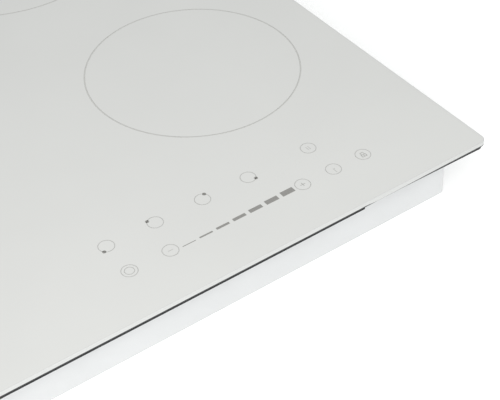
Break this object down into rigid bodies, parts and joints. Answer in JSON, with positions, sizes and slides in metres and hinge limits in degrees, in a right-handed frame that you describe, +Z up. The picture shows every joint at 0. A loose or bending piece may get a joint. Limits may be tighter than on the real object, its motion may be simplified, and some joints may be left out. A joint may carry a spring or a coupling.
{
  "type": "electric induction cooktop",
  "caption": "Built-in induction cooktop: white glass plate with printed zones and touch slider over a shallow white sheet-steel housing.",
  "frame": {"origin": "middle of the cooktop at the underside of its housing, directly below the centre of the glass", "axes": "+X to the right for the cook at the front, +Y towards the rear, +Z up out of the glass"},
  "size_m": [0.59, 0.52, 0.0477],
  "materials": {
    "white_glass": "opaque white toughened glass, polished face, ground and polished edge",
    "silicone": "cured silicone bead",
    "seal_foam": "closed-cell foam tape",
    "plated_sheet": "bright zinc-plated sheet",
    "white_sheet": "white powder coat, satin",
    "plated_steel": "zinc-plated",
    "spring_steel": "bright spring wire",
    "bush_rubber": "matte",
    "grey_plastic": "fine moulded texture",
    "white_plastic": "moulded",
    "black_plastic": "moulded, glass filled",
    "brass": "plated",
    "copper": "enamelled litz wire",
    "ferrite": "sintered ferrite",
    "mica": "mica sheet",
    "ceramic": "glazed sensor body",
    "board_green": "solder mask",
    "bare_aluminium": "extruded",
    "blue_film": "box film capacitor",
    "choke_wire": "enamelled wire on a ring core",
    "yellow_film": "film capacitor",
    "lead_sleeve": "silicone-glass sleeve",
    "ribbon_plastic": "flat ribbon"
  },
  "bodies": {
    "cooktop": {"glass_top": "white_glass", "glass_adhesive": "silicone", "seal_tape": "seal_foam", "support_frame": "plated_sheet", "housing": "white_sheet", "housing_screws": "plated_steel", "cable_bush": "bush_rubber", "terminal_box": "grey_plastic", "lid_pin": "plated_steel", "terminal_block": "white_plastic", "terminal_screws": "brass", "coil_former_front_left": "black_plastic", "coil_former_rear_left": "black_plastic", "coil_former_front_right": "black_plastic", "coil_former_rear_right": "black_plastic", "winding_front_left": "copper", "winding_rear_left": "copper", "winding_front_right": "copper", "winding_rear_right": "copper", "ferrites_front_left": "ferrite", "ferrites_rear_left": "ferrite", "ferrites_front_right": "ferrite", "ferrites_rear_right": "ferrite", "insulation_front_left": "mica", "insulation_rear_left": "mica", "insulation_front_right": "mica", "insulation_rear_right": "mica", "zone_sensors": "ceramic", "coil_tray_left": "plated_sheet", "coil_tray_right": "plated_sheet", "tray_posts": "plated_steel", "tray_springs": "spring_steel", "power_board_left": "board_green", "power_board_right": "board_green", "heatsink_left": "bare_aluminium", "heatsink_right": "bare_aluminium", "transistors": "black_plastic", "capacitors": "blue_film", "chokes": "choke_wire", "filter_board": "board_green", "filter_parts": "yellow_film", "board_screws": "plated_steel", "fan_frame_left": "black_plastic", "fan_frame_right": "black_plastic", "air_ducts": "black_plastic", "coil_leads": "lead_sleeve", "touch_carrier": "grey_plastic", "touch_board": "board_green", "touch_springs": "spring_steel", "touch_lights": "white_plastic", "buzzer": "black_plastic", "ribbon_cable": "ribbon_plastic", "clamp_screws": "plated_steel"},
    "impeller_left": {"fan_impeller_left": "black_plastic"},
    "impeller_right": {"fan_impeller_right": "black_plastic"},
    "lid": {"terminal_lid": "grey_plastic"},
    "clamp_front_left": {"clamp_front_left": "plated_steel"},
    "clamp_rear_left": {"clamp_rear_left": "plated_steel"},
    "clamp_front_right": {"clamp_front_right": "plated_steel"},
    "clamp_rear_right": {"clamp_rear_right": "plated_steel"}
  },
  "joints": [
    {"name": "fan_left_spin", "type": "hinge", "parent": "cooktop", "child": "impeller_left", "pos_m": [-0.0955, 0.1505, 0.011], "axis": [0, 0, 1], "continuous": true},
    {"name": "fan_right_spin", "type": "hinge", "parent": "cooktop", "child": "impeller_right", "pos_m": [0.0805, 0.1505, 0.011], "axis": [0, 0, 1], "continuous": true},
    {"name": "terminal_lid_hinge", "type": "hinge", "parent": "cooktop", "child": "lid", "pos_m": [0.1965, 0.2427, 0.022], "axis": [1, 0, 0], "range_deg": [0, 90]},
    {"name": "clamp_front_left_swing", "type": "hinge", "parent": "cooktop", "child": "clamp_front_left", "pos_m": [-0.2635, -0.1505, 0.00375], "axis": [0, 0, 1], "range_deg": [0, 90]},
    {"name": "clamp_rear_left_swing", "type": "hinge", "parent": "cooktop", "child": "clamp_rear_left", "pos_m": [-0.2635, 0.1505, 0.00375], "axis": [0, 0, -1], "range_deg": [0, 90]},
    {"name": "clamp_front_right_swing", "type": "hinge", "parent": "cooktop", "child": "clamp_front_right", "pos_m": [0.2635, -0.1505, 0.00375], "axis": [0, 0, -1], "range_deg": [0, 90]},
    {"name": "clamp_rear_right_swing", "type": "hinge", "parent": "cooktop", "child": "clamp_rear_right", "pos_m": [0.2635, 0.1505, 0.00375], "axis": [0, 0, 1], "range_deg": [0, 90]}
  ]
}
